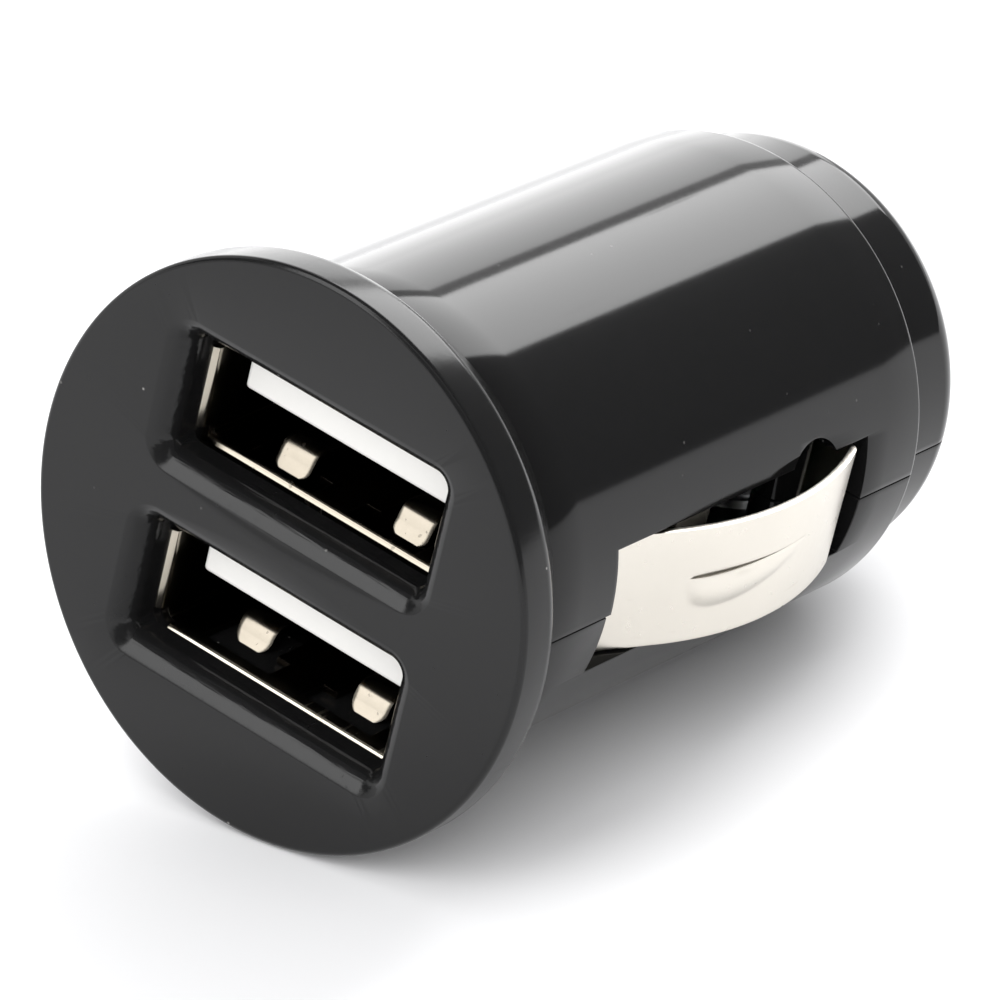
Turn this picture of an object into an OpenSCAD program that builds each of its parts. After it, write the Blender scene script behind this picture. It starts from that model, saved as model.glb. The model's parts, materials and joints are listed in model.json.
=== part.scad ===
// Compact charger plug for a 12 V vehicle socket, with two stacked charging sockets in its face.
// Origin: centre of the flat front face. +Y runs from the face to the nose, +Z is up.
// The two body shells meet at z = 0, where the seam shows beside the window.

/* [Charging sockets] */
// Inside width of each socket
port_w = 12.5; // [12:0.1:13]
// Inside height of each socket
port_h = 5.12; // [4.9:0.02:5.4]
// Distance between the middles of the two sockets
port_pitch = 8.6; // [8.2:0.1:9.4]
// Inside corner radius of each socket
port_corner = 0.4; // [0.2:0.1:0.8]
// Thickness of the sheet metal of the socket shell and its cover
sheet_t = 0.3; // [0.2:0.05:0.4]
// Length of the socket shell
stack_l = 18.0; // [16:0.1:19]
// Reach of the rear cover's side flanges over the shell
flange_reach = 2.0; // [1.5:0.1:3]
// Distance from the shell's top and bottom to those flanges
flange_inset = 1.2; // [0.8:0.1:2]
// Depth of the shell's mouth behind the face
mouth_depth = 2.0; // [1.4:0.1:2.5]
// Length of the floors between the sockets
floor_l = 12.2; // [11.5:0.1:13.5]
// Distance from the mouth back to the web between the sockets
web_setback = 0.5; // [0:0.1:1]

/* [Tongues and contacts] */
// Gap between a tongue and each side of its socket
tongue_side = 0.7; // [0.5:0.05:1]
// Thickness of a tongue
tongue_t = 1.84; // [1.6:0.02:2.1]
// Height of a tongue's lower face over the middle of its socket
tongue_rise = 0.0; // [-0.3:0.05:0.3]
// Distance from the shell's mouth to a tongue's front
tongue_setback = 1.0; // [0.8:0.1:2]
// Width of a socket contact
contact_w = 1.0; // [0.8:0.1:1.2]
// Thickness of a socket contact
contact_t = 0.25; // [0.15:0.05:0.35]
// Distance from the middle to the two inner contacts
contact_inner_x = 1.0; // [0.8:0.05:1.2]
// Distance from the middle to the two outer contacts
contact_outer_x = 3.5; // [3:0.1:4]

/* [Spring fingers in the socket floors] */
// Distance from the middle to a finger
finger_x = 3.1; // [2.8:0.05:3.3]
// Width of a finger
finger_w = 1.8; // [1.2:0.1:2]
// Distance from the middle to the inner edge of a finger's slot
slot_inner_x = 1.6; // [1:0.05:1.8]
// Distance from a socket's side to the outer edge of the slot
slot_side = 1.75; // [1.2:0.05:1.9]
// Distance from the shell's mouth to the slot
finger_slot_y = 0.8; // [0.6:0.1:2]
// Length of the slot
finger_slot_l = 9.2; // [8:0.1:10]
// Rise of a finger's crest over the floor sheet
finger_rise = 0.7; // [0.4:0.05:0.9]

/* [Front cap] */
// Distance that the rim stands out past the body, all round
rim_out = 2.07; // [1.5:0.05:3]
// Length of the cap that shows, from the face to the body shells
cap_l = 4.5; // [3.8:0.1:6]
// Length of the straight part of the rim
rim_l = 1.5; // [1:0.1:2]
// Radius of the edge between the face and the rim
face_edge_r = 0.27; // [0.1:0.01:0.5]
// Radius that rounds the rim into the flare
flare_r = 0.8; // [0.4:0.1:1.2]
// Angle of the flare to the axis
flare_angle = 36.7; // [30:0.1:40]
// Step of the cap's rear edge over the body
cap_step = 0.07; // [0.02:0.01:0.15]
// Length of the cap's spigot inside the body
spigot_l = 1.9; // [1:0.1:2.2]
// Width that a port opening's ramps add at each side
ramp_side = 0.95; // [0.8:0.05:1.1]
// Height that a port opening's ramps add above and below
ramp_top = 0.85; // [0.5:0.05:0.9]
// Depth of the ramps
ramp_depth = 1.0; // [0.6:0.1:1.2]
// Corner radius of a port opening at the face
ramp_corner = 1.4; // [1:0.1:1.8]
// Distance from a socket's side to the opening's straight edge
land_side = 0.3; // [0.05:0.05:0.4]
// Distance from a socket's top to the opening's straight edge
land_top = 0.1; // [0.05:0.05:0.4]

/* [Body shells] */
// Thickness of the body's wall
body_wall = 0.8; // [0.7:0.05:1.4]
// Radius of the body's rear edge
body_edge_r = 0.35; // [0.1:0.05:0.6]
// Step from the body down to the collar
collar_step = 0.95; // [0.7:0.05:1.2]
// Thickness of the collar's wall
collar_wall = 0.9; // [0.7:0.05:1.2]
// Length of the collar's straight part
collar_l = 3.0; // [2.5:0.1:4]
// Radius of the collar's shoulder
shoulder_r = 1.5; // [1.2:0.1:3]
// Angle of the nose cone to the axis
cone_angle = 38; // [30:0.5:40]
// Length of the nose cone behind the shoulder
cone_l = 3.9; // [3:0.05:5]
// Radius of the nose's edge
nose_edge_r = 0.5; // [0.2:0.05:0.8]
// Thickness of the nose's end wall
nose_wall = 1.0; // [0.8:0.1:1.6]

/* [Side windows] */
// Distance from the cap to a window's front edge
window_lead = 4.4; // [4.2:0.1:5]
// Distance that the window starts earlier in the lower shell
window_step = 0.25; // [0:0.05:0.4]
// Length of a window
window_l = 17.3; // [16.5:0.1:17.6]
// Height of a window above the seam
window_up = 2.85; // [2.8:0.05:3.2]
// Depth of a window below the seam
window_down = 2.8; // [2.75:0.05:3.2]
// Radius of the notch in a window's upper edge
notch_r = 1.75; // [1.2:0.05:2]
// Height of the notch's middle over the seam
notch_z = 1.95; // [1.5:0.05:2.2]
// Distance from the notch's middle to the window's rear edge
notch_back = 3.75; // [3:0.05:5]

/* [Ground leaves] */
// Width of a leaf
leaf_w = 5.4; // [4.6:0.1:5.5]
// Thickness of a leaf
leaf_t = 0.3; // [0.2:0.05:0.4]
// Distance that a leaf's bow stands proud of the body
leaf_proud = 1.17; // [0.8:0.01:1.5]
// Distance from the window's front edge to where a leaf crosses the body's surface
leaf_run_in = 3.8; // [3:0.1:4.5]
// Distance from a leaf's rear face to the window's rear edge
leaf_rear_gap = 0.9; // [0.5:0.1:1.5]
// Depth of a leaf's rear bend under the body's surface
leaf_sink = 0.05; // [0:0.01:0.2]
// Length of the bent-in strip at a leaf's rear
leaf_hook = 2.05; // [1.8:0.05:2.4]
// Width of the head at the end of that strip
leaf_head_w = 6.8; // [6:0.1:7.2]
// Distance that a leaf's foot reaches forward of the window
leaf_foot_lead = 1.9; // [1.6:0.1:2]
// Angle that a leaf swings in
leaf_swing = 5; // [3:0.5:5.5]
// Length of the lanced louver
louver_l = 6.8; // [5:0.1:8]
// Width of the louver
louver_w = 1.65; // [1.2:0.05:2]
// Height of the louver over the leaf
louver_rise = 0.35; // [0.32:0.01:0.45]
// Height of the louver's slit over the leaf's middle
louver_slit_z = 0.55; // [0:0.05:0.8]
// Distance from the bow's crest forward to the louver's middle
louver_ahead = 1.6; // [0:0.1:2.4]

/* [Nose contact] */
// Radius of the contact's pin
pin_r = 3.3; // [2.6:0.05:3.6]
// Length of the pin outside the nose
pin_out = 3.3; // [2.8:0.1:5]
// Radius of the pin's domed tip
tip_r = 4.5; // [3.8:0.1:8]
// Distance that the contact slides in
pin_travel = 2.2; // [1.5:0.1:2.3]
// Distance that the contact's flange stands out past the pin
flange_out = 1.2; // [0.8:0.1:1.5]
// Thickness of the flange
flange_t = 0.65; // [0.5:0.05:0.9]
// Mean radius of the coil spring
coil_r = 2.4; // [2.2:0.05:2.8]
// Diameter of the spring's wire
wire_d = 0.45; // [0.3:0.05:0.5]
// Number of turns of the spring
turns = 3.5; // [2.5:0.5:3.5]
// Length of the spring
coil_l = 4.2; // [4.2:0.1:5]
// Length of the pegs that centre the spring
peg_l = 0.7; // [0.4:0.1:0.9]
// Thickness of the spring's terminal
terminal_t = 0.4; // [0.3:0.05:0.6]
// Distance that the terminal stands out past the spring
terminal_rim = 1.0; // [0.6:0.1:1.4]
// Width of the terminal's tabs
tab_w = 2.0; // [1.4:0.1:3]
// Thickness of the terminal's tabs
tab_t = 0.3; // [0.2:0.05:0.4]

/* [Circuit board] */
// Thickness of the board
board_t = 1.6; // [1:0.1:1.8]
// Gap between the socket stack's cover and the board
board_gap = 0.55; // [0.3:0.05:0.8]
// Length of the contact tails on the board
tail_l = 1.4; // [1.2:0.1:2]
// Length of the terminal's tabs on the board
tab_l = 1.1; // [0.8:0.1:1.6]
// Gap between neighbouring components
part_gap = 0.1; // [0.05:0.05:0.3]
// Diameter of the input capacitor
input_cap_d = 6.3; // [5:0.1:6.6]
// Height of the input capacitor
input_cap_h = 5.4; // [4:0.1:6]
// Diameter of the output capacitor
output_cap_d = 5.0; // [4:0.1:5.5]
// Height of the output capacitor
output_cap_h = 5.4; // [4:0.1:6]
// Diameter of the inductor's core
core_d = 5.8; // [5:0.1:6]
// Height of the inductor's core
core_h = 4.2; // [3:0.1:5]
// Thickness of the core's end discs
core_disc_t = 0.7; // [0.5:0.05:0.9]

/* [Small components] */
// Length, width and height of the regulator chip's body
chip = [4.9, 3.6, 1.6]; // [0.5:0.1:6]
// Distance between the chip's leads
lead_pitch = 1.1; // [1:0.01:1.27]
// Length, width and height of the rectifier diode
diode = [4.3, 2.5, 2.2]; // [0.5:0.1:6]
// Length, width and height of the resettable fuse
fuse = [3.2, 1.6, 0.9]; // [0.5:0.1:6]
// Length, width and height of a ceramic capacitor
ceramic = [2.0, 1.2, 1.1]; // [0.5:0.1:6]
// Length, width and height of a chip resistor
resistor = [1.6, 0.8, 0.45]; // [0.3:0.05:6]

/* [Fits] */
// Gap between parts that slip together
slip = 0.05; // [0.03:0.01:0.06]
// Gap round the nose contact's pin
pin_fit = 0.08; // [0.05:0.01:0.1]
// Gap beside the board, the ribs and the leaves
room = 0.5; // [0.4:0.05:0.6]

/* [Hidden] */
$fn = 96;
over = 1;

// Socket stack
port_z = port_pitch/2;
stack_w = port_w + 2*sheet_t;
stack_h = port_pitch + port_h + 2*sheet_t;
stack_corner = port_corner + sheet_t*0.35;
stack_end = mouth_depth + stack_l;
floor_end = mouth_depth + floor_l;
web_z = port_z - port_h/2 - sheet_t;
tongue_front = mouth_depth + tongue_setback;
tongue_w = port_w - 2*tongue_side;
contact_xs = [-contact_outer_x, -contact_inner_x, contact_inner_x, contact_outer_x];
leg_y = stack_end - 0.5;

// Body: its bore takes the corners of the stack, and its size follows
stack_reach = norm([stack_w/2 - stack_corner, stack_h/2 - stack_corner]) + stack_corner;
bore_r = stack_reach + slip;
body_r = bore_r + body_wall;
rim_r = body_r + rim_out;
collar_r = body_r - collar_step;
collar_bore = collar_r - collar_wall;
spigot_r = bore_r - slip;
spigot_end = cap_l + spigot_l;

// Windows and leaves
window_y = cap_l + window_lead;
window_end = window_y + window_l;
notch_y = window_end - notch_back;
tail_x = sqrt(bore_r*bore_r - leaf_w*leaf_w/4) - slip - leaf_t/2;
foot_y = window_y - leaf_foot_lead;
bow_start = window_y + leaf_run_in;
bow_end = window_end - leaf_rear_gap - leaf_t*1.25;
bow_y = (bow_start + bow_end)/2;
bow_half = (bow_end - bow_start)/2;
bow_sag = leaf_proud + leaf_sink;
bow_r = (bow_half*bow_half + bow_sag*bow_sag)/(2*bow_sag);
bow_x = body_r + leaf_proud - bow_r;
bow_angle = asin(bow_half/bow_r);
bend_r = 0.45;
bow_end_x = bow_x + (bow_r - leaf_t/2)*cos(bow_angle);
hook_y = bow_end - leaf_t/2*sin(bow_angle) + bend_r*(1 - sin(bow_angle));
hook_x = body_r - leaf_sink - leaf_t/2 - leaf_hook;
post_r = 1.0;
post_x = hook_x - 0.2;
post_y = hook_y - leaf_t/2 - room - post_r;
rib_w = 0.9;

// Board behind the stack: its size follows from the components that stand on it
board_y = stack_end + slip + sheet_t + board_gap;
board_w = core_d + input_cap_d + 3*part_gap;
board_top = board_t/2;
tail_end = board_y + tail_l;
row_y = tail_end + 2*part_gap;
under_y = row_y + ceramic[1] + part_gap + input_cap_d/2;
board_end = under_y + input_cap_d/2 + part_gap + tab_l;
over_y = row_y + resistor[1] + part_gap;
ledge_x = board_w/2 - 0.6;

// Terminal, spring and nose contact behind the board, and the nose that holds them
terminal_y = board_end + 0.4;
coil_start = terminal_y + terminal_t;
coil_end = coil_start + coil_l;
flange_y = coil_end + flange_t;
nose_y = flange_y + slip + nose_wall;
shoulder_y = nose_y - cone_l - shoulder_r*sin(cone_angle);
body_end = shoulder_y - collar_l;
peg_r = coil_r - wire_d/2 - 0.4;
hole_r = pin_r + pin_fit;
boss_r = 1.0;
boss_x = collar_bore - boss_r*0.8;
boss_y = min(board_end, shoulder_y) - 0.6;

black = [0.05, 0.05, 0.055];
face_black = [0.12, 0.12, 0.12];
nickel = [0.86, 0.84, 0.79];
gold = [0.85, 0.66, 0.3];

// Points along an arc
function arc(cx, cy, r, from, to, n) =
    [for (i = [0:n]) let (a = from + (to - from)*i/n) [cx + r*cos(a), cy + r*sin(a)]];

// Direction of a path at point i
function heading(p, i) =
    let (d = p[min(i + 1, len(p) - 1)] - p[max(i - 1, 0)]) d/norm(d);

// One side of a strip whose middle line is the path p
function side(p, off) =
    [for (i = [0:len(p) - 1]) let (h = heading(p, i)) p[i] + off*[-h[1], h[0]]];

// Outline of a strip of thickness t along the path p
function strip(p, t) =
    let (a = side(p, t/2), b = side(p, -t/2), n = len(b)) concat(a, [for (i = [1:n]) b[n - i]]);

// Turns the local z axis to +Y
module along_y() rotate([-90, 0, 0]) children();

// A body of revolution about Y from points of radius and distance behind the face
module turned(points) along_y() rotate_extrude($fn = 180) polygon(points);

// A box between two opposite corners
module block(low, high) translate(low) cube(high - low);

module rounded_rect(w, h, r) {
    square([w - 2*r, h], center = true);
    square([w, h - 2*r], center = true);
    for (x = [-1, 1], y = [-1, 1]) translate([x*(w/2 - r), y*(h/2 - r)]) circle(r, $fn = 32);
}

// A bar with rounded corners that runs back from y
module bar(w, h, r, y, l) translate([0, y, 0]) along_y() linear_extrude(l) rounded_rect(w, h, r);

// A sheet strip bent in the Y-Z plane, w wide and centred on x
module bent_sheet(path, t, x, w)
    translate([x - w/2, 0, 0]) rotate([90, 0, 90]) linear_extrude(w) polygon(strip(path, t));

// What lies inside a cylinder of radius r about the axis
module inside(r, y, l) intersection() {
    translate([0, y, 0]) along_y() cylinder(r = r, h = l);
    children();
}

// Front cap

flare_x = rim_r - flare_r;
flare_end = cap_l - (flare_x + flare_r*cos(flare_angle) - body_r - cap_step)/tan(flare_angle);
cap_outline = concat(
    [[0, 0]],
    arc(rim_r - face_edge_r, face_edge_r, face_edge_r, -90, 0, 6),
    arc(flare_x, flare_end - flare_r*sin(flare_angle), flare_r, 0, flare_angle, 6),
    [[body_r + cap_step, cap_l], [spigot_r, cap_l], [spigot_r, spigot_end], [0, spigot_end]]);

// The ramped opening over one socket
module port_opening() {
    land_w = port_w + 2*land_side;
    land_h = port_h + 2*land_top;
    hull() {
        bar(land_w + 2*ramp_side, land_h + 2*ramp_top, ramp_corner, -over, over);
        bar(land_w, land_h, port_corner + land_top, ramp_depth, 0.01);
    }
    bar(land_w, land_h, port_corner + land_top, 0, mouth_depth + over);
}

module front_cap() color(face_black) difference() {
    turned(cap_outline);
    bar(stack_w + 2*slip, stack_h + 2*slip, stack_corner + slip, mouth_depth, spigot_end);
    for (s = [-1, 1]) translate([0, 0, s*port_z]) port_opening();
    for (s = [-1, 1]) mirror([s < 0 ? 1 : 0, 0, 0])
        block([finger_x - finger_w/2 - slip, mouth_depth + finger_slot_y, -stack_h/2 - 1],
              [finger_x + finger_w/2 + slip, spigot_end + over, 0]);
}

// Body shells

shell_outline = concat(
    [[body_r, cap_l]],
    arc(body_r - body_edge_r, body_end - body_edge_r, body_edge_r, 0, 90, 6),
    [[collar_r, body_end]],
    arc(collar_r - shoulder_r, shoulder_y, shoulder_r, 0, cone_angle, 8));
cone_end_r = collar_r - shoulder_r*(1 - cos(cone_angle)) - (cone_l - nose_edge_r)*tan(cone_angle);
nose_outline = concat(
    arc(cone_end_r - nose_edge_r*cos(cone_angle), nose_y - nose_edge_r, nose_edge_r, cone_angle, 90, 5),
    [[hole_r, nose_y], [hole_r, nose_y - nose_wall]]);
inner_r = shoulder_r - collar_wall;
inner_y = shoulder_y + inner_r*sin(cone_angle);
inner_end_r = collar_bore - inner_r*(1 - cos(cone_angle))
    - (nose_y - nose_wall - inner_y)*tan(cone_angle);
bore_outline = concat(
    [[inner_end_r, nose_y - nose_wall]],
    arc(collar_bore - inner_r, shoulder_y, inner_r, cone_angle, 0, 8),
    [[collar_bore, body_end - body_wall], [bore_r, body_end - body_wall], [bore_r, cap_l]]);

module body_tube() turned(concat(shell_outline, nose_outline, bore_outline));

// Posts and ribs on the right of the upper shell; depth is how far they reach toward the seam
module inner_supports() {
    inside(bore_r + body_wall/2, foot_y, window_end - foot_y) {
        translate([post_x, post_y, 0]) cylinder(r = post_r, h = bore_r, $fn = 48);
        block([tail_x - leaf_t/2 - 0.2 - rib_w, foot_y + 0.5, 0],
              [tail_x - leaf_t/2 - 0.2, foot_y + 0.5 + rib_w, bore_r]);
    }
    inside(collar_bore + collar_wall/2, boss_y - 2*boss_r, 4*boss_r) {
        translate([boss_x, boss_y, 0]) cylinder(r = boss_r, h = collar_r, $fn = 48);
        block([ledge_x, boss_y - 0.4, board_top], [boss_x, boss_y + 0.4, board_top + 1.6]);
    }
}

// The upper half; the lower half is its mirror image, with its own window edge and no notch
module half_shell(window_front, window_h) difference() {
    union() {
        body_tube();
        for (s = [0, 1]) mirror([s, 0, 0]) inner_supports();
    }
    block([-2*body_r, -over, -2*body_r], [2*body_r, nose_y + over, 0]);
    for (s = [0, 1]) mirror([s, 0, 0])
        block([post_x + post_r + 0.1, window_front, -over], [2*body_r, window_end, window_h]);
}

module upper_shell() color(black) {
    difference() {
        half_shell(window_y, window_up);
        for (s = [0, 1]) mirror([s, 0, 0])
            translate([post_x + post_r + 0.1, notch_y, notch_z]) rotate([0, 90, 0])
                cylinder(r = notch_r, h = body_r, $fn = 48);
    }
    for (s = [-1, 1]) translate([s*boss_x, boss_y, -1.2]) cylinder(r = boss_r/2, h = 1.7, $fn = 32);
}

module lower_shell() color(black) difference() {
    mirror([0, 0, 1]) half_shell(window_y - window_step, window_down);
    for (s = [-1, 1]) translate([s*boss_x, boss_y, -1.4])
        cylinder(r = boss_r/2 + slip, h = 1.4 + over, $fn = 32);
}

// Socket stack

// Side view of a finger: from its root along the floor, over the crest and down to the tip
finger_crest_r = 0.45;
finger_root_y = mouth_depth + finger_slot_y + finger_slot_l;
finger_tip_y = mouth_depth + finger_slot_y + 1.6;
finger_path = concat(
    [[finger_root_y + 0.3, 0], [finger_root_y - 0.6, 0.02]],
    arc(finger_tip_y + 0.8, finger_rise - finger_crest_r, finger_crest_r, 82, 143, 6),
    [[finger_tip_y + 0.07, finger_rise - 0.7], [finger_tip_y, finger_rise - 1.3]]);

module floor_fingers(z) for (s = [-1, 1]) translate([0, 0, z])
    bent_sheet(finger_path, sheet_t, s*finger_x, finger_w);

module floor_slots(z) for (s = [-1, 1])
    mirror([s < 0 ? 1 : 0, 0, 0]) block([slot_inner_x, mouth_depth + finger_slot_y, z - sheet_t],
                                        [port_w/2 - slot_side, finger_root_y, z + sheet_t]);

module usb_shell() color(nickel) {
    floors = [port_z - port_h/2 - sheet_t/2, -port_z - port_h/2 - sheet_t/2];
    difference() {
        bar(stack_w, stack_h, stack_corner, mouth_depth, stack_l);
        for (s = [-1, 1]) translate([0, 0, s*port_z])
            bar(port_w, port_h, port_corner, mouth_depth - over, floor_l + over);
        bar(port_w, 2*web_z, port_corner, mouth_depth + web_setback + sheet_t, floor_l - web_setback);
        block([-port_w/2, mouth_depth - over, -port_z], [port_w/2, mouth_depth + web_setback, port_z]);
        bar(port_w, stack_h - 2*sheet_t, port_corner, floor_end, stack_l);
        for (z = floors) floor_slots(z);
    }
    for (z = floors) floor_fingers(z);
}

module usb_rear_shield() color(nickel) {
    y = stack_end + slip;
    flange_x = stack_w/2 + slip;
    difference() {
        block([-flange_x, y, -stack_h/2 + sheet_t], [flange_x, y + sheet_t, stack_h/2 - sheet_t]);
        block([-contact_outer_x - contact_w, y - over, -board_top - 3*contact_t],
              [contact_outer_x + contact_w, y + over, board_top + 3*contact_t]);
    }
    for (s = [0, 1]) mirror([s, 0, 0])
        block([flange_x, y - flange_reach, -stack_h/2 + flange_inset],
              [flange_x + sheet_t, y + sheet_t, stack_h/2 - flange_inset]);
}

// Lowest face of the tongue in the socket at height z, and of the contacts under it
function tongue_z(z) = z + tongue_rise;

module usb_insulator() color("whitesmoke") difference() {
    union() {
        bar(port_w - 2*slip, stack_h - 2*sheet_t - 2*slip, port_corner, floor_end + slip,
            leg_y - 0.25 - floor_end - slip);
        for (z = [port_z, -port_z])
            block([-tongue_w/2, tongue_front, tongue_z(z)],
                  [tongue_w/2, floor_end + over, tongue_z(z) + tongue_t]);
    }
    for (z = [port_z, -port_z], x = contact_xs)
        block([x - contact_w/2 - slip, floor_end - over, tongue_z(z) - contact_t - slip],
              [x + contact_w/2 + slip, stack_end, tongue_z(z)]);
}

// Four contacts that run back under a tongue, turn toward the board and end on its face
module contacts(z, face_z) for (x = contact_xs)
    bent_sheet([[tongue_front + 0.9, z], [leg_y - 0.2, z], [leg_y, z + sign(face_z - z)*0.2],
                [leg_y, face_z + sign(z - face_z)*0.3], [leg_y + 0.3, face_z], [tail_end, face_z]],
               contact_t, x, contact_w);

module usb_contacts_upper() color(gold)
    contacts(tongue_z(port_z) - contact_t/2, board_top + contact_t/2);

module usb_contacts_lower() color(gold)
    contacts(tongue_z(-port_z) - contact_t/2, -board_top - contact_t/2);

// Ground leaves

// Plan view of the right leaf's middle line, from its foot to the end of its hook
ramp_y = bow_start - (bow_end_x - tail_x)/tan(bow_angle);
leaf_path = concat(
    [[stack_w/2 + leaf_t, foot_y]],
    arc(tail_x - 0.4, foot_y + 0.4, 0.4, -90, 0, 4),
    arc(tail_x + 6, ramp_y - 6*tan(bow_angle/2), 6, 180, 180 - bow_angle, 5),
    arc(bow_x, bow_y, bow_r - leaf_t/2, -bow_angle, bow_angle, 28),
    arc(bow_end_x - bend_r*cos(bow_angle), hook_y - bend_r, bend_r, bow_angle + 12, 90, 4),
    [[hook_x, hook_y]]);

// The louver's outer skin is part of a ring that curves more than the bow; skin lowers its surface
louver_r = 8.6;
louver_half = asin(louver_l/2/louver_r);
louver_arc_r = (louver_w*louver_w + louver_rise*louver_rise)/(2*louver_rise);
louver_y = bow_y - louver_ahead;
louver_tilt = asin(louver_ahead/bow_r);
louver_x = bow_x + (bow_r + louver_rise)*cos(louver_tilt) - louver_r*cos(louver_tilt);

module louver(skin) translate([louver_x, louver_y + louver_r*sin(louver_tilt), louver_slit_z])
    rotate([0, 0, -louver_tilt - louver_half]) rotate_extrude(angle = 2*louver_half, $fn = 120)
        polygon(concat([[louver_r - 1, 0]],
            [for (i = [0:6]) let (z = -louver_w*i/6)
                [louver_r - skin - louver_arc_r + sqrt(louver_arc_r*louver_arc_r - z*z), z]],
            [[louver_r - 1, -louver_w]]));

module leaf() color(nickel) difference() {
    union() {
        translate([0, 0, -leaf_w/2]) linear_extrude(leaf_w) polygon(strip(leaf_path, leaf_t));
        block([hook_x, hook_y - leaf_t/2, -leaf_head_w/2],
              [hook_x + 0.7, hook_y + leaf_t/2, leaf_head_w/2]);
        louver(0);
    }
    louver(leaf_t);
}

module ground_leaf_right() leaf();

module ground_leaf_left() mirror([1, 0, 0]) leaf();

// Nose contact

tip_rise = tip_r - sqrt(tip_r*tip_r - pin_r*pin_r);
pin_end = nose_y + pin_out;

module centre_contact() color(nickel) turned(concat(
    [[0, coil_end - peg_l], [peg_r, coil_end - peg_l], [peg_r, coil_end],
     [pin_r + flange_out, coil_end], [pin_r + flange_out, flange_y], [pin_r, flange_y]],
    arc(0, pin_end - tip_r, tip_r, asin(sqrt(tip_r*tip_r - pin_r*pin_r)/tip_r), 90, 10)));

// Ring i of the spring's wire: 8 points round the coil's line, which rises from end to end
coil_steps = 24;
coil_rings = turns*coil_steps;
coil_rise = coil_l - wire_d;
function coil_ring(i) = let (a = 360*i/coil_steps) [for (k = [0:7]) let (b = 45*k)
    [(coil_r + wire_d/2*cos(b))*cos(a), (coil_r + wire_d/2*cos(b))*sin(a),
     wire_d/2 + coil_rise*i/coil_rings + wire_d/2*sin(b)]];

module contact_spring() color("silver") translate([0, coil_start, 0]) along_y() polyhedron(
    points = [for (i = [0:coil_rings]) each coil_ring(i)],
    faces = concat(
        [[for (k = [0:7]) k]],
        [for (i = [0:coil_rings - 1], k = [0:7])
            [8*i + k, 8*i + 8 + k, 8*i + 8 + (k + 1) % 8, 8*i + (k + 1) % 8]],
        [[for (k = [0:7]) 8*coil_rings + 7 - k]]));

module spring_terminal() color("goldenrod") {
    terminal_r = coil_r + wire_d/2 + terminal_rim;
    turned([[0, terminal_y], [terminal_r, terminal_y], [terminal_r, coil_start],
            [peg_r, coil_start], [peg_r, coil_start + peg_l], [0, coil_start + peg_l]]);
    for (s = [0, 1]) mirror([0, 0, s])
        block([-tab_w/2, board_end + part_gap - tab_l, board_top],
              [tab_w/2, coil_start, board_top + tab_t]);
}

// Circuit board, its underside and its top

module circuit_board() color("darkgreen")
    block([-board_w/2, board_y, -board_top], [board_w/2, board_end, board_top]);

under_core = [-board_w/2 + core_d/2 + part_gap, under_y, -board_top];

module inductor_core() color([0.22, 0.22, 0.23]) translate(under_core) mirror([0, 0, 1]) {
    cylinder(d = core_d, h = core_disc_t, $fn = 64);
    cylinder(d = core_d*0.45, h = core_h, $fn = 64);
    translate([0, 0, core_h - core_disc_t]) cylinder(d = core_d, h = core_disc_t, $fn = 64);
}

module inductor_winding() color([0.72, 0.4, 0.2]) translate(under_core)
    mirror([0, 0, 1]) translate([0, 0, core_disc_t + slip]) difference() {
        h = core_h - 2*core_disc_t - 2*slip;
        cylinder(d = core_d - 0.5, h = h, $fn = 64);
        translate([0, 0, -over]) cylinder(d = core_d*0.45 + 2*slip, h = h + 2*over, $fn = 64);
    }

// A can capacitor: its square base, then the can with its rolled groove
module can_capacitor(d, h) {
    base_h = h*0.09;
    rotate_extrude($fn = 64) polygon([[0, base_h], [d/2, base_h], [d/2, h*0.22],
        [d/2 - d*0.03, h*0.27], [d/2 - d*0.03, h*0.3], [d/2, h*0.35],
        [d/2, h - d*0.05], [d/2 - d*0.05, h], [0, h]]);
    translate([-d/2, -d/2, 0]) cube([d, d, base_h]);
}

module input_capacitor() color("lightgray")
    translate([board_w/2 - input_cap_d/2 - part_gap, under_y, -board_top]) mirror([0, 0, 1])
        can_capacitor(input_cap_d, input_cap_h);

module output_capacitor() color("lightgray")
    translate([board_w/4, over_y + output_cap_d/2, board_top])
        can_capacitor(output_cap_d, output_cap_h);

// The controller: a moulded body with four gull-wing leads on each side
module regulator_chip() color([0.15, 0.15, 0.16]) {
    lead_t = chip[2]/8;
    lead_w = lead_pitch*0.35;
    lead_l = chip[1]*0.26;
    translate([-board_w/4, over_y + chip[0]/2, board_top]) {
        block([-chip[1]/2, -chip[0]/2, lead_t/2], [chip[1]/2, chip[0]/2, chip[2]]);
        for (s = [0, 1], i = [-1.5:1.5]) mirror([s, 0, 0]) translate([chip[1]/2, i*lead_pitch, 0]) {
            block([-lead_t, -lead_w/2, chip[2]/2], [lead_l/2, lead_w/2, chip[2]/2 + lead_t]);
            block([lead_l/2 - lead_t, -lead_w/2, 0], [lead_l/2, lead_w/2, chip[2]/2 + lead_t]);
            block([lead_l/2 - lead_t, -lead_w/2, 0], [lead_l, lead_w/2, lead_t]);
        }
    }
}

// A component of length, width and height, with a metal cap at each end
module capped_part(size) {
    cap = size[0]*0.2;
    lift = size[2]*0.04;
    block([-size[0]/2 + lift, -size[1]/2, lift], [size[0]/2 - lift, size[1]/2, size[2]]);
    for (s = [0, 1]) mirror([s, 0, 0])
        block([size[0]/2 - cap, -size[1]/2, 0], [size[0]/2, size[1]/2, size[2] - lift]);
}

module rectifier_diode() color([0.13, 0.13, 0.14])
    translate([-board_w/4, over_y + chip[0] + part_gap + diode[1]/2, board_top]) capped_part(diode);

module resettable_fuse() color("seagreen")
    translate([board_w/4, over_y + output_cap_d + part_gap + fuse[1]/2, board_top]) capped_part(fuse);

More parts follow.
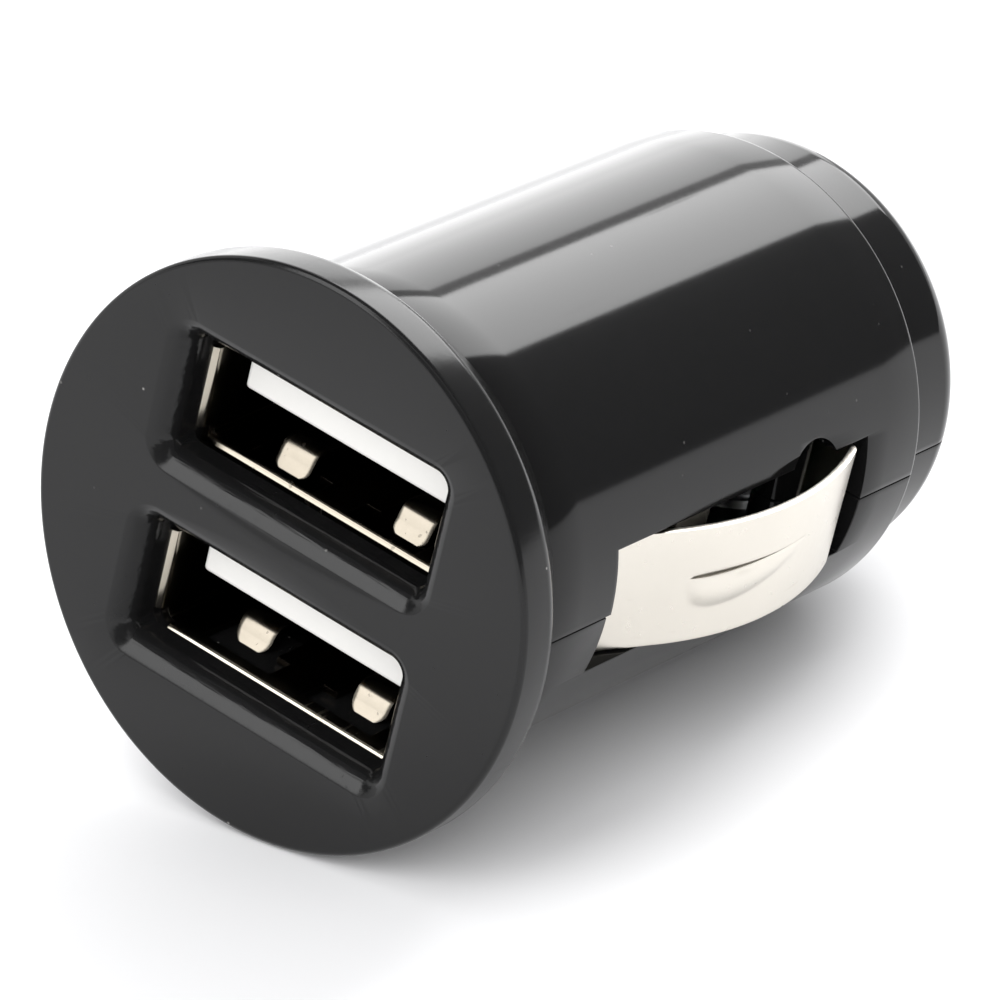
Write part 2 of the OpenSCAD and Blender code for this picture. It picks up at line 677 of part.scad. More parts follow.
module ceramic_capacitors() color("tan") for (i = [-1:1])
    translate([i*2*ceramic[0], row_y + ceramic[1]/2, -board_top]) mirror([0, 0, 1]) capped_part(ceramic);

module chip_resistors() color([0.1, 0.1, 0.12]) for (i = [-1:1])
    translate([i*2*resistor[0], row_y + resistor[1]/2, board_top]) capped_part(resistor);

front_cap();
upper_shell();
lower_shell();
usb_shell();
usb_rear_shield();
usb_insulator();
usb_contacts_upper();
usb_contacts_lower();
ground_leaf_right();
ground_leaf_left();
centre_contact();
contact_spring();
spring_terminal();
circuit_board();
inductor_core();
inductor_winding();
input_capacitor();
output_capacitor();
regulator_chip();
rectifier_diode();
resettable_fuse();
ceramic_capacitors();
chip_resistors();
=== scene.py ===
# %% [markdown]
# # A charger plug for a 12 V vehicle socket
#
# The plug is about 41 mm long. A round face carries two stacked sockets, a glossy body of two
# half shells sits behind it, and a bowed spring contact stands out of a window on each side.
# The engineering model gives the frame: every piece here goes where that model says.
# Lengths are in millimetres and are turned into metres where a mesh is made.

# %% Load the frame
import json
from math import asin, cos, degrees, hypot, pi, radians, sin, sqrt, tan

import bmesh
import bpy
from mathutils import Matrix, Vector


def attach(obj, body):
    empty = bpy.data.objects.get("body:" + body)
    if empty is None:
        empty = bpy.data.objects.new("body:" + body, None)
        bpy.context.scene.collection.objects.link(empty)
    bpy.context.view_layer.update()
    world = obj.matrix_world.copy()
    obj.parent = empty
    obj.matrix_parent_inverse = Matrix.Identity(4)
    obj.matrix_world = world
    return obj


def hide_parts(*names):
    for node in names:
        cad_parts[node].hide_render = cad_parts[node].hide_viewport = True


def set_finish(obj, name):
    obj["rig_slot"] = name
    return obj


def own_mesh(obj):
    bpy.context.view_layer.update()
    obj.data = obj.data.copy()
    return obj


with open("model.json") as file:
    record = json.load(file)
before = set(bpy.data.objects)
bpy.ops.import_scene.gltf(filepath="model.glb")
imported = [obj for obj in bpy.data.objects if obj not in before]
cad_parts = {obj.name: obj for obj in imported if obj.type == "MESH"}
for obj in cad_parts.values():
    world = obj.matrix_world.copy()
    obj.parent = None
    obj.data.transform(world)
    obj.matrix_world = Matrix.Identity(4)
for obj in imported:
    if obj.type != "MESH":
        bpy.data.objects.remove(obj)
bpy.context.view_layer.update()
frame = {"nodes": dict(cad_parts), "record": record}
nodes = frame["nodes"]
print("nodes:", ", ".join(sorted(nodes)))

# %% [markdown]
# ## Named sizes
#
# The dressed pieces repeat the sizes of the solids that they stand for. They are worked out here
# in the same order as in the engineering model, from the sockets outward, so that a shell still
# fits its socket and a window still fits its spring. X goes across the face, Y from the face to
# the nose, and Z from the lower socket to the upper one.

# %% Sizes of the sockets
MM = 0.001
port_w, port_h, port_z, port_corner = 12.5, 5.12, 4.3, 0.4
sheet, slip = 0.3, 0.05
stack_w, stack_h, stack_corner = 13.1, 14.32, 0.505
stack_start, stack_end, floor_end = 2.0, 20.0, 14.2
web_start, slot_start = 2.5, 2.8
print(f"socket stack {stack_w} x {stack_h} mm, from y {stack_start} to {stack_end}")

# %% Sizes of the housing
body_wall, rim_out, collar_step, collar_l = 0.8, 2.07, 0.95, 3.0
corner_reach = hypot(stack_w/2 - stack_corner, stack_h/2 - stack_corner) + stack_corner
bore_r = corner_reach + slip
body_r = bore_r + body_wall
rim_r = body_r + rim_out
collar_r = body_r - collar_step
cap_l, spigot_end = 4.5, 6.4
window_start, window_end = 8.9, 26.2
nose_y, cone_turn, cone_l, shoulder_r = 38.0, 38, 3.9, 1.5
cone_angle = radians(cone_turn)
shoulder_y = nose_y - cone_l - shoulder_r*sin(cone_angle)
body_end = shoulder_y - collar_l
print(f"body radius {body_r:.3f}, rim radius {rim_r:.3f}, rear edge at {body_end:.2f} mm")

# %% [markdown]
# ## Mesh helpers
#
# The real housing is moulded, so nearly every form is either turned about one axis or pushed
# through the face. A few helpers cover that: `lathe` turns an outline, `loft` joins outlines
# that follow each other, `prism` and `brick` make bars and blocks, and `boolean` takes one form
# out of another. `skin` fills the faces between rows of points. Points that come from the sizes
# keep every edge where the engineering model has it.

# %% Outlines and objects
def link(name, bm):
    """Turn a bmesh into an object in the scene."""
    bmesh.ops.recalc_face_normals(bm, faces=bm.faces)
    mesh = bpy.data.meshes.new(name)
    bm.to_mesh(mesh)
    bm.free()
    piece = bpy.data.objects.new(name, mesh)
    bpy.context.scene.collection.objects.link(piece)
    return piece


def arc(cx, cy, r, start, end, steps):
    """Points on an arc, with its angles in degrees."""
    angles = [radians(start + (end - start)*i/steps) for i in range(steps + 1)]
    return [(cx + r*cos(a), cy + r*sin(a)) for a in angles]


def skin(bm, rows, around=True):
    """Faces between rows of points; around also joins the last point of a row to its first."""
    n = len(rows[0])
    for a, b in zip(rows, rows[1:]):
        for k in range(n if around else n - 1):
            m = (k + 1) % n
            bm.faces.new((a[k], a[m], b[m], b[k]))


print("a quarter arc of 4 steps has", len(arc(0, 0, 1, 0, 90, 4)), "points")

# %% Turned and lofted forms
def lathe(name, outline, start=0, sweep=360, steps=240):
    """Turn a closed outline of (radius, y) about the Y axis."""
    bm = bmesh.new()
    closed = abs(sweep) == 360
    rings = []
    for i in range(steps if closed else steps + 1):
        a = radians(start + sweep*i/steps)
        rings.append([bm.verts.new((r*cos(a)*MM, y*MM, r*sin(a)*MM)) for r, y in outline])
    skin(bm, rings + rings[:1] if closed else rings)
    if not closed:
        bm.faces.new(rings[0])
        bm.faces.new(rings[-1])
    bmesh.ops.remove_doubles(bm, verts=bm.verts, dist=1e-7)
    return link(name, bm)


def rounded_loop(w, h, r, y, z=0.0, steps=8):
    """A rounded rectangle in the plane at y, as points."""
    loop = []
    for sx, sz, a in ((1, 1, 0), (-1, 1, 90), (-1, -1, 180), (1, -1, 270)):
        for px, pz in arc(sx*(w/2 - r), sz*(h/2 - r), r, a, a + 90, steps):
            loop.append((px*MM, y*MM, (z + pz)*MM))
    return loop


def loft(name, loops):
    """Join closed loops of equal length and close the two ends."""
    bm = bmesh.new()
    rows = [[bm.verts.new(p) for p in loop] for loop in loops]
    skin(bm, rows)
    bm.faces.new(rows[0])
    bm.faces.new(rows[-1])
    return link(name, bm)


print("points in a rounded loop:", len(rounded_loop(port_w, port_h, port_corner, 0)))

# %% Blocks and bars
def brick(name, low, high):
    """A block between two corners."""
    bm = bmesh.new()
    bmesh.ops.create_cube(bm, size=1)
    for v in bm.verts:
        v.co = Vector([(low[i] if v.co[i] < 0 else high[i])*MM for i in range(3)])
    return link(name, bm)


def prism(name, outline, x0, x1):
    """A bar along X between two places, with an outline of (y, z) points."""
    bm = bmesh.new()
    ends = [[bm.verts.new((x*MM, y*MM, z*MM)) for y, z in outline] for x in (x0, x1)]
    skin(bm, ends)
    for end in ends:
        bm.faces.new(end)
    return link(name, bm)


print("helpers for forms: lathe, loft, brick, prism")

# %% [markdown]
# ## Cutting, softening and dressing
#
# No moulded edge is perfectly sharp. A bevel gives each edge the small radius that the mould
# leaves, and weighted normals keep the broad faces flat beside it. Modifiers are turned into
# mesh at once, so each later step works on the finished form. Last, `dress` hides the solid that
# a piece stands for, hangs the piece on the body that carries it, and gives it the finish of its
# slot.

# %% Modifiers that end as mesh
def bake(piece):
    """Turn the modifiers of a piece into its mesh."""
    graph = bpy.context.evaluated_depsgraph_get()
    done = bpy.data.meshes.new_from_object(piece.evaluated_get(graph))
    piece.modifiers.clear()
    piece.data = done
    return piece


def boolean(piece, cutters):
    """Take the cutters out of a piece and delete them."""
    for cutter in cutters:
        step = piece.modifiers.new("cut", "BOOLEAN")
        step.operation, step.solver, step.object = "DIFFERENCE", "EXACT", cutter
    bake(piece)
    for cutter in cutters:
        bpy.data.objects.remove(cutter)
    return piece


def soften(piece, width, angle=32):
    """Round the sharp edges of a piece and keep its broad faces flat."""
    if width:
        bevel = piece.modifiers.new("edge radius", "BEVEL")
        bevel.width, bevel.segments = width*MM, 2
        bevel.limit_method, bevel.angle_limit = "ANGLE", radians(angle)
        bevel.use_clamp_overlap, bevel.harden_normals = True, False
        bake(piece)
    piece.data.shade_smooth()
    piece.data.set_sharp_from_angle(angle=radians(angle + 12))
    even = piece.modifiers.new("flat faces", "WEIGHTED_NORMAL")
    even.keep_sharp, even.weight = True, 60
    return bake(piece)


def thicken(piece, thickness, even=False):
    """Give a sheet without thickness its thickness, half on each side."""
    solid = piece.modifiers.new("sheet", "SOLIDIFY")
    solid.thickness, solid.offset, solid.use_even_offset = thickness*MM, 0, even
    return bake(piece)


print("helpers for edges: boolean, soften, thicken")

# %% Joining and dressing
def join(pieces):
    """Make one object of several; it keeps the first one's name."""
    with bpy.context.temp_override(active_object=pieces[0], selected_editable_objects=pieces):
        bpy.ops.object.join()
    return pieces[0]


dressed = []


def dress(piece, node, body, slot):
    """Put a piece in place of its solid, on its body, with the finish of its slot."""
    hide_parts(node)
    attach(piece, body)
    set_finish(piece, slot)
    dressed.append(piece)
    print(f"{piece.name}: {len(piece.data.polygons)} faces, stands for {node}")
    return piece


print("solids in the frame:", len(nodes))

# %% [markdown]
# ## The front cap
#
# The cap is one moulding: a flat face with a small edge radius, a short rim, and a skirt that
# narrows to the body. All of it is round, so it is turned from one outline. Each socket sits
# behind an opening whose sides slope in, so that a plug finds its way. A chamfer would look too
# hard there: the real ramp bends. So the opening is cut with a loft whose rings follow an arc
# from nearly flat with the face to nearly square with it, and whose last rings are the straight
# land around the shell.

# %% Outline of the cap
face_edge_r, flare_r, flare_turn, cap_step = 0.27, 0.8, 36.7, 0.07
flare = radians(flare_turn)
flare_y = cap_l - (rim_r - flare_r*(1 - cos(flare)) - body_r - cap_step)/tan(flare)
cap_outline = (
    [(0.0, 0.0)]
    + arc(rim_r - face_edge_r, face_edge_r, face_edge_r, -90, 0, 8)
    + arc(rim_r - flare_r, flare_y - flare_r*sin(flare), flare_r, 0, flare_turn, 8)
    + [(body_r + cap_step + 0.04, cap_l - 0.06), (body_r + cap_step, cap_l)]
    + [(bore_r - slip, cap_l), (bore_r - slip, spigot_end), (0.0, spigot_end)]
)
print(f"cap: the flare starts at y {flare_y:.2f} mm")

# %% Openings of the cap
land_w, land_h, land_corner = port_w + 0.6, port_h + 0.2, 0.5
ramp_side, ramp_top, ramp_corner, ramp_depth = 0.95, 0.85, 1.4, 1.0


def ramp_rings(start=16, end=80, steps=16):
    """Pairs of width share and depth down a ramp that bends from one slope to another."""
    first, last = radians(start), radians(end)
    rings = []
    for i in range(steps + 1):
        a = radians(start + (end - start)*i/steps)
        share = (sin(last) - sin(a))/(sin(last) - sin(first))
        drop = (cos(first) - cos(a))/(cos(first) - cos(last))
        rings.append((share, ramp_depth*drop))
    return rings


def port_cutter(name, z):
    """The sloped opening over one socket."""
    loops = []
    land = [(0.0, ramp_depth + 0.02), (0.0, stack_start + 0.3)]
    for share, y in [(1.12, -0.03)] + ramp_rings() + land:
        corner = land_corner + (ramp_corner - land_corner)*min(share, 1.0)
        loops.append(rounded_loop(land_w + 2*ramp_side*share, land_h + 2*ramp_top*share,
                                  corner, y, z, steps=12))
    return loft(name, loops)


print("ramp rings:", [(round(share, 2), round(y, 2)) for share, y in ramp_rings(steps=4)])

# %% Front cap
pocket_corner, pocket_end = 0.55, 9.0
pocket = loft("pocket", [rounded_loop(stack_w + 2*slip, stack_h + 2*slip, pocket_corner, y)
                         for y in (stack_start, pocket_end)])
cap = lathe("cap_moulding", cap_outline, steps=288)
boolean(cap, [pocket, port_cutter("upper_cut", port_z), port_cutter("lower_cut", -port_z)])
soften(cap, 0, angle=24)
dress(cap, "front_cap", "housing", "face_plastic")

# %% [markdown]
# ## The body shells
#
# The body is moulded in two halves that meet in the plane z = 0, so each half is turned through
# 180 degrees only. The bevel on the meeting edges makes the fine groove that shows as a seam.
# Each half carries its half of both windows. The upper half has a round notch near the rear of
# each window, and a post stands inside it.

# %% Outline of a shell
body_edge_r, groove_r, nose_edge_r = 0.35, 0.12, 0.5
collar_wall, nose_wall, pin_hole_r = 0.9, 1.0, 3.38
body_steps = 12
cone_end_r = collar_r - shoulder_r*(1 - cos(cone_angle)) - (cone_l - nose_edge_r)*tan(cone_angle)
outer = (
    [(body_r, cap_l + (body_end - body_edge_r - cap_l)*i/body_steps) for i in range(body_steps)]
    + arc(body_r - body_edge_r, body_end - body_edge_r, body_edge_r, 0, 90, 7)
    + arc(collar_r + groove_r, body_end + groove_r, groove_r, 270, 180, 4)[1:]
    + arc(collar_r - shoulder_r, shoulder_y, shoulder_r, 0, cone_turn, 14)
    + arc(cone_end_r - nose_edge_r*cos(cone_angle), nose_y - nose_edge_r, nose_edge_r,
          cone_turn, 90, 6)
)
inner_r, bore_back = shoulder_r - collar_wall, body_end - body_wall
inner_end = (collar_r - collar_wall - inner_r*(1 - cos(cone_angle))
             - (nose_y - nose_wall - shoulder_y - inner_r*sin(cone_angle))*tan(cone_angle))
inner = (
    [(pin_hole_r, nose_y), (pin_hole_r, nose_y - nose_wall), (inner_end, nose_y - nose_wall)]
    + arc(collar_r - collar_wall - inner_r, shoulder_y, inner_r, cone_turn, 0, 8)
    + [(collar_r - collar_wall, bore_back), (bore_r, bore_back), (bore_r, cap_l)]
)
print(f"shell: {len(outer) + len(inner)} points, nose radius {cone_end_r:.2f} mm")

# %% Windows, notches and posts
window_x, window_reach, past_seam = 8.996, 14, 1.0
notch_x, notch_y, notch_z, notch_r, notch_l = 8.9, 22.45, 1.95, 1.75, 6.0
post_x, post_y, post_r, post_l, post_edge = 7.896, 23.52, 1.0, 5.2, 0.05


def window_cutters(s, front, height):
    """Blocks that open one half of both windows, from a little past the seam."""
    cutters = []
    for side in (-1, 1):
        near, far = sorted((side*window_x, side*window_reach))
        low, high = sorted((-s*past_seam, s*height))
        cutters.append(brick("window", (near, front, low), (far, window_end, high)))
    return cutters


def notch_cutters():
    """Round bars across the shell for the notches in the upper edges of the windows."""
    cutters = []
    for side in (-1, 1):
        notch = lathe("notch", [(0.0, 0.0), (notch_r, 0.0), (notch_r, notch_l), (0.0, notch_l)],
                      steps=64)
        notch.data.transform(Matrix.Translation(Vector((side*notch_x, notch_y, notch_z))*MM)
                             @ Matrix.Rotation(-side*pi/2, 4, "Z"))
        cutters.append(notch)
    return cutters


def posts(s):
    """A post on each side, from the seam to the wall of one half."""
    made = []
    for side in (-1, 1):
        post = lathe("post", [(0.0, 0.02), (post_r - post_edge, 0.02), (post_r, 0.02 + post_edge),
                              (post_r, post_l), (0.0, post_l)], steps=48)
        turn = Matrix.Rotation(s*pi/2, 4, "X")
        post.data.transform(Matrix.Translation(Vector((side*post_x, post_y, 0))*MM) @ turn)
        made.append(soften(post, 0))
    return made


print(f"windows from y {window_start} to {window_end}, posts at y {post_y}")

# %% Body shells
seam_turn = 0.16
window_up, window_down, window_step = 2.85, 2.8, 0.25


def half_shell(name, up, window_front, window_height):
    """One half of the body, with its half of the windows and its inner posts."""
    s = 1 if up else -1
    shell = lathe(name, outer + inner, start=seam_turn*s, sweep=(180 - 2*seam_turn)*s, steps=144)
    boolean(shell, window_cutters(s, window_front, window_height))
    if up:
        boolean(shell, notch_cutters())
    soften(shell, 0.05, angle=40)
    return join([shell] + posts(s))


dress(half_shell("upper_half", True, window_start, window_up),
      "upper_shell", "housing", "shell_plastic")
dress(half_shell("lower_half", False, window_start - window_step, window_down),
      "lower_shell", "housing", "shell_plastic")

# %% [markdown]
# ## The socket shell
#
# Both sockets share one folded sheet of plated steel. Only its lip, its inner walls and the
# sprung fingers in its floors show through the openings. The tube is made by cutting one rounded
# bar out of another. Its lip opens in a few small steps, because a flare catches the light as a
# thin bright line, which a plain edge doesn't.

# %% Mouth of the socket shell
lip = [(0.27, 0.0), (0.21, 0.035), (0.15, 0.07), (0.09, 0.105),
       (0.05, 0.14), (0.025, 0.19), (0.01, 0.25), (0.0, 0.36)]
before = stack_start - 0.1
gap_x, gap_end, gap_z = (5.75, 6.7), 2.6, ((-3.0, -2.1), (1.57, 3.0))


def mouth_cutters(z):
    """The inside of one socket with its flared lip, and the gaps at its corners."""
    rings = [(lip[0][0], before)] + [(d, stack_start + y) for d, y in lip] + [(0.0, floor_end)]
    cutters = [loft("hollow", [rounded_loop(port_w + 2*d, port_h + 2*d, port_corner + d, y, z)
                               for d, y in rings])]
    for side in (-1, 1):
        near, far = sorted(side*x for x in gap_x)
        for low, high in gap_z:
            cutters.append(brick("corner", (near, before, z + low), (far, gap_end, z + high)))
    return cutters


print(f"lip: opens by {lip[0][0]} mm over {lip[-1][1]} mm")

# %% Web and floors of the socket shell
web_z = port_z - port_h/2
web_cut_z, web_corner, back_corner = 2.0, 0.3, 0.4
finger_slot = ("slot", 1.6, port_w/2 - 1.75, 12.0)
slot_front = ("slot_front", 0.9, 2.0, 4.2)
floors = [z - port_h/2 - sheet/2 for z in (port_z, -port_z)]


def web_cutters():
    """What leaves the web between the sockets, with a lip like the shell's own."""
    top = [(web_start + y, web_z - d) for d, y in lip]
    edge = [(before, web_cut_z), (top[-1][0], web_cut_z)] + top[::-1]
    outline = edge + [(y, -z) for y, z in reversed(edge)]
    return [
        prism("web_lip", outline, -port_w/2, port_w/2),
        loft("web", [rounded_loop(port_w, 2*(web_z - sheet), web_corner, y)
                     for y in (web_start + sheet, floor_end + 0.1)]),
        loft("back", [rounded_loop(port_w, stack_h - 2*sheet, back_corner, y)
                      for y in (floor_end - 0.1, stack_end + 1.0)]),
    ]


def slot_cutters(z):
    """The slots that free the two fingers of one floor."""
    cutters = []
    for side in (-1, 1):
        for name, inner_x, outer_x, end in (finger_slot, slot_front):
            near, far = sorted((side*inner_x, side*outer_x))
            cutters.append(brick(name, (near, slot_start, z - sheet), (far, end, z + sheet)))
    return cutters


print("floors at z", [round(z, 2) for z in floors])

# %% Socket shell without its fingers
tube = loft("socket_shell_sheet", [rounded_loop(stack_w, stack_h, stack_corner, y)
                                   for y in (stack_start, stack_end)])
boolean(tube, mouth_cutters(port_z) + mouth_cutters(-port_z) + web_cutters()
        + slot_cutters(floors[0]) + slot_cutters(floors[1]))
soften(tube, 0.035, angle=40)
print("socket shell:", len(tube.data.polygons), "faces before its fingers")

# %% [markdown]
# ## The fingers
#
# Each floor has two fingers that press on a plug. A finger is a strip that follows its own side
# view: up from the floor, over a crest, and down to a rounded tip that hangs below the floor.
# Real fingers never stand quite alike, so three of the four are bent a little. All carry an
# attribute called "sprung", by which the material knows them from the walls around them and
# paints only half as much shade on them.

# %% Side view of a finger
root_y, finger_x, finger_w = 12.3, 3.1, 1.8
rise_y, rise_l, rise = 11.4, 6.0, 0.66
crest_y, crest_z, crest_r = 5.25, 0.12, 0.58
drop_y, drop_z, tip_run, tip_fall, tip_steps = 4.54, -0.07, 0.27, 0.43, 8
finger_line = (
    [(root_y, 0.0), (11.8, 0.0), (rise_y, 0.02)]
    + [(rise_y - rise_l*t, 0.02 + rise*(t**1.15)) for t in (0.15, 0.3, 0.45, 0.6, 0.75, 0.88)]
    + arc(crest_y, crest_z, crest_r, 86, 146, 10)
    + [(4.70, 0.32), (4.62, 0.10), (drop_y, drop_z)]
    + [(drop_y - tip_run*i/tip_steps, drop_z - tip_fall*i/tip_steps)
       for i in range(1, tip_steps + 1)]
)
print(f"finger: {len(finger_line)} points, tip {-finger_line[-1][1]:.2f} mm below the floor")

# %% Strips
def strip(name, line, thickness, x, width, tip):
    """A sheet strip along a line of (y, z) points, narrower toward its rounded tip."""
    bm = bmesh.new()
    total = sum(hypot(b[0] - a[0], b[1] - a[1]) for a, b in zip(line, line[1:]))
    gone, rows = 0.0, []
    for i, (y, z) in enumerate(line):
        if i:
            gone += hypot(y - line[i - 1][0], z - line[i - 1][1])
        left = min(1.0, max(0.0, total - gone)/tip)
        half = width/2 - tip*(1 - sqrt(1 - (1 - left)**2))
        rows.append([bm.verts.new(((x + half*k/4)*MM, y*MM, z*MM)) for k in range(-4, 5)])
    skin(bm, rows, around=False)
    return soften(thicken(link(name, bm), thickness), 0.05, angle=50)


def finger(z, side):
    """One finger; the upper left one is bent down a little and the lower two are bent up."""
    bent = (0.12 if side < 0 else 0.0) if z > 0 else -0.1
    line = [(y, z + dz - bent*min(1.0, (root_y - y)/7)) for y, dz in finger_line]
    piece = strip("finger", line, sheet, side*finger_x, finger_w, 0.42 if z > 0 else 0.78)
    sprung = piece.data.attributes.new("sprung", "FLOAT", "POINT")
    sprung.data.foreach_set("value", [1.0]*len(piece.data.vertices))
    return piece


join([tube] + [finger(z, side) for z in floors for side in (-1, 1)])
dress(tube, "usb_shell", "housing", "plated_shell")

# %% [markdown]
# ## The white insulator
#
# The two tongues are one moulding with the block behind them. A tongue's front edges are
# rounded, because a plug rides over them, and its underside carries the gold contacts.
# The front is a few rings of a loft, each a little wider than the last.

# %% Insulator with its tongues
tongue_w, tongue_t, tongue_corner, tongue_start = 10.7, 1.84, 0.16, 3.0
front_rings = [(0.20, 0.0), (0.09, 0.04), (0.03, 0.12), (0.0, 0.26), (0.0, 5.0)]
block_end, block_corner = 19.25, 0.4


def tongue(name, z):
    """One tongue, rounded at its front; z is the height of its lower face."""
    rings = [(d, tongue_start + y) for d, y in front_rings] + [(0.0, floor_end + 0.4)]
    return loft(name, [rounded_loop(tongue_w - 2*d, tongue_t - 2*d, tongue_corner, y,
                                    z + tongue_t/2, steps=4) for d, y in rings])


block = loft("insulator_moulding", [rounded_loop(port_w - 0.1, stack_h - 0.7, block_corner, y)
                                    for y in (floor_end + slip, block_end)])
islands = [block, tongue("tongue", port_z), tongue("tongue", -port_z)]
for part in islands:
    soften(part, 0, angle=30)
join(islands)
dress(block, "usb_insulator", "housing", "insulator_white")

# %% [markdown]
# ## The side contacts
#
# Each contact is one strip of plated spring sheet: a root in front, a long bow that rubs on the
# vehicle's socket, and a tail bent in behind. A louver is lanced out of the bow to stiffen it.
# The sheet starts as a grid without thickness. Along the slit the grid has two rows of points
# that are not joined, so the lower row can be pushed out on its own, and Solidify then adds the
# thickness, which shows as an edge in the slit.

# %% Plan view of a contact
leaf_t, leaf_w, head_w = 0.3, 5.4, 6.8
leaf_proud, leaf_sink, hook_l, bend_r = 1.17, 0.05, 2.05, 0.45
foot_x, foot_y, foot_r, sweep_r = 6.85, 7.0, 0.4, 6
bow_start, bow_end, bow_rise = 12.7, 24.925, 1.22
tail_x = sqrt(bore_r**2 - leaf_w**2/4) - slip - leaf_t/2
bow_mid, bow_half = (bow_start + bow_end)/2, (bow_end - bow_start)/2
bow_r = (bow_half**2 + bow_rise**2)/(2*bow_rise)
bow_x = body_r + leaf_proud - bow_r
bow_angle = asin(bow_half/bow_r)
mid_r = bow_r - leaf_t/2
end_x = bow_x + mid_r*cos(bow_angle)
hook_y = bow_end - leaf_t/2*sin(bow_angle) + bend_r*(1 - sin(bow_angle))
hook_x = body_r - leaf_sink - leaf_t/2 - hook_l
sweep_y = bow_start - (end_x - tail_x)/tan(bow_angle) - sweep_r*tan(bow_angle/2)
bow_turn = degrees(bow_angle)
leaf_line = (
    [(foot_x, foot_y)]
    + arc(tail_x - foot_r, foot_y + foot_r, foot_r, -90, 0, 6)
    + arc(tail_x + sweep_r, sweep_y, sweep_r, 180, 180 - bow_turn, 10)
    + arc(bow_x, bow_mid, mid_r, -bow_turn, bow_turn, 72)
    + arc(end_x - bend_r*cos(bow_angle), hook_y - bend_r, bend_r, bow_turn + 8, 90, 7)
    + [(hook_x + 0.7, hook_y), (hook_x + 0.69, hook_y), (hook_x, hook_y)]
)
print(f"contact: bow radius {bow_r:.2f} mm, crest at y {bow_mid:.2f}")

# %% Slit and louver
slit_z, slit_fall = 0.54, 0.26
louver_w, louver_front, louver_back, louver_rise = 1.6, 13.85, 20.55, 0.22


def slope(y, z):
    """How far a level of the sheet shifts at this place, because the slit falls to the front."""
    share = min(1.0, max(0.0, (louver_back - y)/(louver_back - louver_front)))
    return -slit_fall*share*(1 - abs(z)/(leaf_w/2))


def bulge(y, z):
    """How far the louver stands out: open at the slit in front, a soft fold behind."""
    along = (y - louver_front)/(louver_back - louver_front)
    if not 0 < along < 1:
        return 0.0
    fullness = max(0.001, sin(pi*along**0.5))
    down = (slit_z - z)/(louver_w*fullness**0.55)
    if down < -1e-6 or down >= 1:
        return 0.0
    down = max(0.0, down)
    return louver_rise*fullness*(0.75*(1 - along)**1.3*(1 - down) + 0.85*sin(pi*down))


print(f"louver: stands out {max(bulge(16.0, slit_z - louver_w*i/20) for i in range(20)):.2f} mm")

# %% Side contacts
leaf_steps = 40
levels = [-leaf_w/2 + leaf_w*i/leaf_steps for i in range(leaf_steps + 1)]
split = round((slit_z + leaf_w/2)/leaf_w*leaf_steps)


def leaf_rows(bm, side):
    """Rows of points along the sheet, and the point of each row just above the slit."""
    rows, twins = [], []
    last = len(leaf_line) - 1
    for i, (x, y) in enumerate(leaf_line):
        (xa, ya), (xb, yb) = leaf_line[max(i - 1, 0)], leaf_line[min(i + 1, last)]
        out = Vector((yb - ya, -(xb - xa), 0)).normalized()
        wider = head_w/leaf_w if i >= last - 1 else 1.0
        row = []
        for z in levels:
            p = Vector((x, y, z*wider + slope(y, z))) + out*bulge(y, z)
            row.append(bm.verts.new((side*p.x*MM, p.y*MM, p.z*MM)))
        twin = row[split]
        if louver_front < y < louver_back:
            z = levels[split]
            twin = bm.verts.new((side*x*MM, y*MM, (z + slope(y, z))*MM))
        rows.append(row)
        twins.append(twin)
    return rows, twins


def contact(name, side):
    """The bowed contact on one side; the left one is the mirror image."""
    bm = bmesh.new()
    rows, twins = leaf_rows(bm, side)
    for i in range(len(rows) - 1):
        for k in range(leaf_steps):
            a, b = rows[i][k], rows[i + 1][k]
            if k == split:
                a, b = twins[i], twins[i + 1]
            bm.faces.new((a, rows[i][k + 1], rows[i + 1][k + 1], b))
    return soften(thicken(link(name, bm), leaf_t, even=True), 0.045, angle=50)


dress(contact("right_contact_sheet", 1), "ground_leaf_right", "leaf_right", "leaf_nickel")
dress(contact("left_contact_sheet", -1), "ground_leaf_left", "leaf_left", "leaf_nickel")

# %% [markdown]
# ## The nose contact and its spring
#
# The nose contact is a turned pin with a domed tip, held behind the nose wall by its flange.
# The wire of the coil spring is one tube swept along a helix. When the pin is pressed in, the
# spring gets shorter toward its fixed end. Here the spring only gets a mesh of its own.

# %% Nose contact
flange_y, flange_t, flange_r, flange_edge = nose_y - 1.05, 0.65, 4.5, 0.1
coil_end = flange_y - flange_t
peg_r, peg_l = 1.775, 0.7
pin_end, pin_r, tip_r, dome_l = nose_y + 3.3, 3.3, 4.5, 1.8
tip_turn = degrees(asin(sqrt(tip_r**2 - pin_r**2)/tip_r)) + 3
pin_outline = (
    [(0.0, coil_end - peg_l), (peg_r - 0.075, coil_end - peg_l), (peg_r, coil_end - peg_l + 0.1)]
    + [(peg_r, coil_end), (flange_r - flange_edge, coil_end), (flange_r, coil_end + flange_edge)]
    + [(flange_r, flange_y - flange_edge), (flange_r - flange_edge, flange_y), (pin_r, flange_y)]
    + [(pin_r, pin_end - dome_l)]
    + arc(0, pin_end - tip_r, tip_r, tip_turn, 90, 16)
)
pin = lathe("nose_pin", pin_outline, steps=128)
soften(pin, 0, angle=28)
dress(pin, "centre_contact", "nose_contact", "nose_nickel")

# %% Coil spring
coil_l, coil_r, wire_d, turns = 4.2, 2.4, 0.45, 3.5
coil_start = coil_end - coil_l
per_turn, wire_steps = 40, 12


